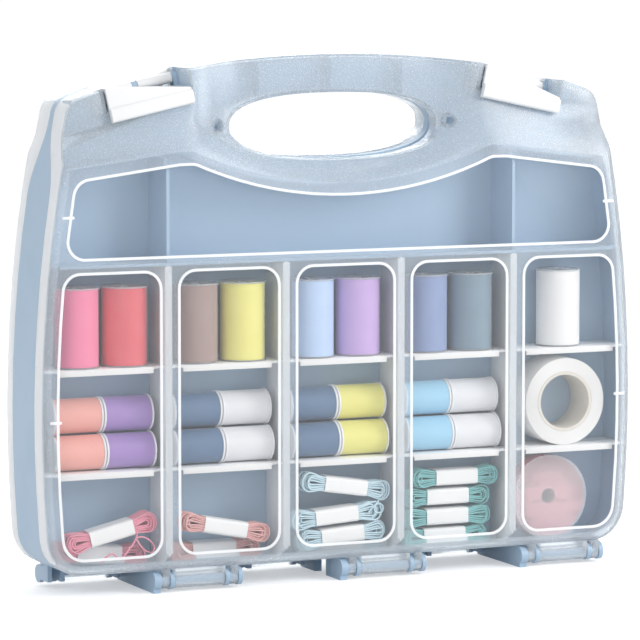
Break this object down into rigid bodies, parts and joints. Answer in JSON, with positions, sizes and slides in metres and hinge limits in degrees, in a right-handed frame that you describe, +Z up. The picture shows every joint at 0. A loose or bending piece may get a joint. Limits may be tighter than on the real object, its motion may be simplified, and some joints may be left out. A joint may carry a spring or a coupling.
{
  "type": "embroidery thread box",
  "caption": "Double-sided clear-lidded thread organiser case with a carrying handle, hinged lids, latches, dividers and threads.",
  "frame": {"origin": "on the ground under the middle of the case, which stands on its hinge side", "axes": "+X to the right as seen from the front, +Y to the back, +Z up towards the handle"},
  "size_m": [0.3738, 0.064, 0.306],
  "materials": {
    "body_plastic": "blue-grey polypropylene, fine satin texture",
    "frosted_plastic": "translucent frosted polypropylene with clear gloss windows",
    "latch_plastic": "white polypropylene, satin",
    "pin_plastic": "white acetal rod, satin",
    "divider_plastic": "translucent white polypropylene",
    "spool_plastic": "clear spool plastic",
    "small_spool_plastic": "white spool plastic",
    "tape": "white woven tape wound on a core",
    "tape_core_card": "pale card tube",
    "paper_band": "white paper band",
    "pink_disc": "wound pink thread",
    "pink_thread": "wound polyester thread, soft sheen",
    "coral_thread": "wound polyester thread, soft sheen",
    "taupe_thread": "wound polyester thread, soft sheen",
    "yellow_thread": "wound polyester thread, soft sheen",
    "light_blue_thread": "wound polyester thread, soft sheen",
    "lilac_thread": "wound polyester thread, soft sheen",
    "slate_thread": "wound polyester thread, soft sheen",
    "teal_grey_thread": "wound polyester thread, soft sheen",
    "white_thread": "wound polyester thread, soft sheen",
    "peach_small_threads": "wound polyester thread, soft sheen",
    "purple_small_threads": "wound polyester thread, soft sheen",
    "navy_small_threads": "wound polyester thread, soft sheen",
    "white_small_threads": "wound polyester thread, soft sheen",
    "yellow_small_threads": "wound polyester thread, soft sheen",
    "sky_small_threads": "wound polyester thread, soft sheen",
    "pink_skeins": "stranded cotton, satin",
    "salmon_skeins": "stranded cotton, satin",
    "blue_skeins": "stranded cotton, satin",
    "teal_skeins": "stranded cotton, satin"
  },
  "bodies": {
    "case": {"core_body": "body_plastic", "left_latch_pin": "pin_plastic", "right_latch_pin": "pin_plastic", "front_column_divider_1": "divider_plastic", "front_column_divider_2": "divider_plastic", "front_column_divider_3": "divider_plastic", "front_column_divider_4": "divider_plastic", "rear_column_divider_1": "divider_plastic", "rear_column_divider_2": "divider_plastic", "rear_column_divider_3": "divider_plastic", "rear_column_divider_4": "divider_plastic", "front_shelves_upper": "divider_plastic", "front_shelves_lower": "divider_plastic", "rear_shelves_upper": "divider_plastic", "rear_shelves_lower": "divider_plastic", "spool_cores": "spool_plastic", "pink_thread": "pink_thread", "coral_thread": "coral_thread", "taupe_thread": "taupe_thread", "yellow_thread": "yellow_thread", "light_blue_thread": "light_blue_thread", "lilac_thread": "lilac_thread", "slate_thread": "slate_thread", "teal_grey_thread": "teal_grey_thread", "white_thread": "white_thread", "small_spool_cores": "small_spool_plastic", "peach_small_threads": "peach_small_threads", "purple_small_threads": "purple_small_threads", "navy_small_threads": "navy_small_threads", "white_small_threads": "white_small_threads", "yellow_small_threads": "yellow_small_threads", "sky_small_threads": "sky_small_threads", "tape_roll": "tape", "tape_core": "tape_core_card", "pink_skeins": "pink_skeins", "salmon_skeins": "salmon_skeins", "blue_skeins": "blue_skeins", "teal_skeins": "teal_skeins", "skein_bands": "paper_band", "pink_disc": "pink_disc"},
    "front_lid": {"front_lid": "frosted_plastic"},
    "rear_lid": {"rear_lid": "frosted_plastic"},
    "front_left_latch": {"front_left_latch": "latch_plastic"},
    "front_right_latch": {"front_right_latch": "latch_plastic"},
    "rear_left_latch": {"rear_left_latch": "latch_plastic"},
    "rear_right_latch": {"rear_right_latch": "latch_plastic"}
  },
  "joints": [
    {"name": "front_lid_hinge", "type": "hinge", "parent": "case", "child": "front_lid", "pos_m": [0, -0.0262, 0.007], "axis": [1, 0, 0], "range_deg": [0, 90]},
    {"name": "rear_lid_hinge", "type": "hinge", "parent": "case", "child": "rear_lid", "pos_m": [0, 0.0262, 0.007], "axis": [-1, 0, 0], "range_deg": [0, 90]},
    {"name": "front_left_latch_hinge", "type": "hinge", "parent": "case", "child": "front_left_latch", "pos_m": [-0.11888, 0, 0.28872], "axis": [-0.9781, 0, -0.2079], "range_deg": [0, 80]},
    {"name": "front_right_latch_hinge", "type": "hinge", "parent": "case", "child": "front_right_latch", "pos_m": [0.11888, 0, 0.28872], "axis": [-0.9781, 0, 0.2079], "range_deg": [0, 80]},
    {"name": "rear_left_latch_hinge", "type": "hinge", "parent": "case", "child": "rear_left_latch", "pos_m": [-0.11888, 0, 0.28872], "axis": [0.9781, 0, 0.2079], "range_deg": [0, 80]},
    {"name": "rear_right_latch_hinge", "type": "hinge", "parent": "case", "child": "rear_right_latch", "pos_m": [0.11888, 0, 0.28872], "axis": [0.9781, 0, -0.2079], "range_deg": [0, 80]}
  ]
}
